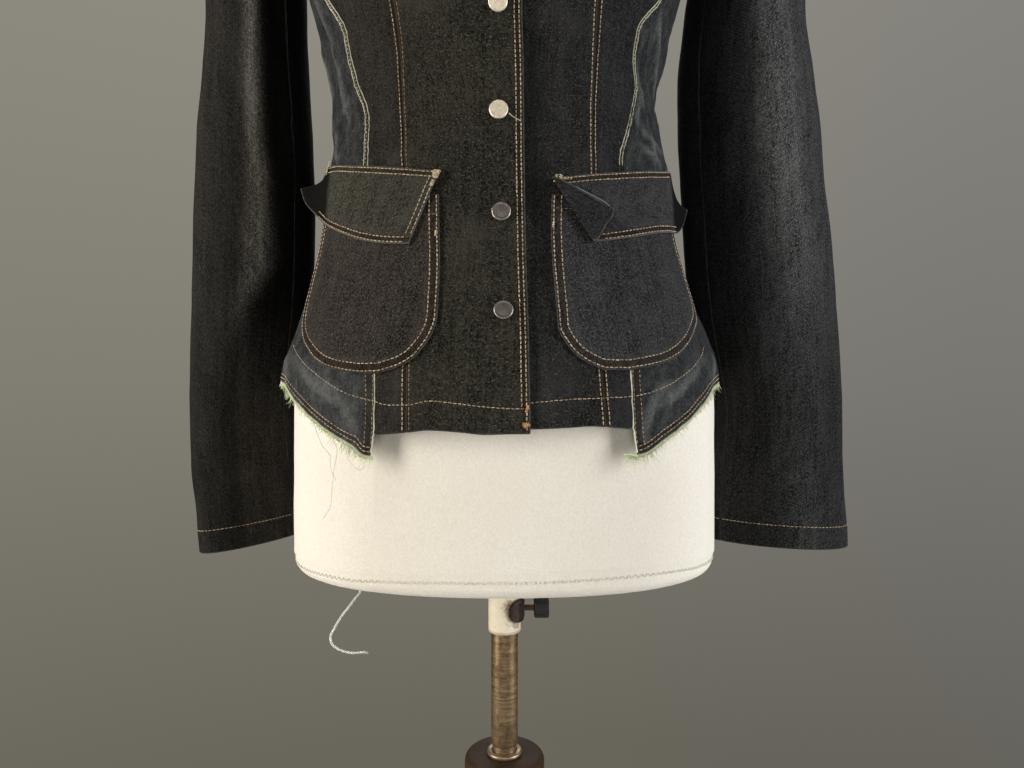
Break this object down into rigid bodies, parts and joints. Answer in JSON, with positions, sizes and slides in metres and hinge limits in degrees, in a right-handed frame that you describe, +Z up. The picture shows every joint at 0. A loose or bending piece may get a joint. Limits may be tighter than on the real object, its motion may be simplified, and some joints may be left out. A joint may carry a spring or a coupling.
{
  "type": "denim jacket on a dress form",
  "caption": "Short fitted black denim jacket with washed side panels and frayed tails, buttoned on a limbless jersey dress form that turns and slides on a poled stand.",
  "frame": {"origin": "middle of the foot's flat underside, on the pole's axis", "axes": "+Z up along the pole, -Y towards the front of the jacket, +X towards the wearer's left"},
  "size_m": [0.5775, 0.416, 1.484],
  "materials": {
    "denim": "black denim twill, faded along seams",
    "denim_sleeve": "black denim twill, a little more faded",
    "washed_denim": "blue-grey washed denim with pale creases and raw edges",
    "button_metal": "aged pewter",
    "jersey": "cream cotton jersey",
    "socket_paint": "cream paint with rust stains",
    "aged_steel": "tarnished, mottled brown",
    "dark_iron": "dark, worn",
    "knob_plastic": "black moulded",
    "dark_wood": "dark stain, satin",
    "cotton_cord": "white cotton"
  },
  "bodies": {
    "stand": {"foot": "dark_wood", "column": "dark_wood", "pole_ring": "aged_steel"},
    "pole": {"pole": "aged_steel"},
    "torso": {"dress_form": "jersey", "socket": "socket_paint", "clamp_plate": "dark_iron", "drawstring": "cotton_cord", "button_1": "button_metal", "button_2": "button_metal", "button_3": "button_metal", "button_4": "button_metal", "button_5": "button_metal", "button_6": "button_metal", "front_left": "denim", "front_right": "denim", "side_front_left": "denim", "side_front_right": "denim", "side_back_left": "denim", "side_back_right": "denim", "back_left": "denim", "back_right": "denim", "pocket_left": "denim", "pocket_right": "denim", "flap_left": "denim", "flap_right": "denim", "collar": "denim", "upper_sleeve_left": "denim_sleeve", "upper_sleeve_right": "denim_sleeve", "upper_sleeve_low_left": "denim_sleeve", "upper_sleeve_low_right": "denim_sleeve", "under_sleeve_left": "denim_sleeve", "under_sleeve_right": "denim_sleeve", "side_panel_left": "washed_denim", "side_panel_right": "washed_denim"},
    "knob": {"clamp_knob": "knob_plastic"}
  },
  "joints": [
    {"name": "turn", "type": "hinge", "parent": "stand", "child": "pole", "pos_m": [0, 0, 0.544], "axis": [0, 0, 1], "continuous": true},
    {"name": "height", "type": "slide", "parent": "pole", "child": "torso", "axis": [0, 0, 1], "range_m": [-0.085, 0.12]},
    {"name": "knob_turn", "type": "hinge", "parent": "torso", "child": "knob", "pos_m": [0.03, 0, 0.6684], "axis": [1, 0, 0], "range_deg": [0, 360]}
  ]
}
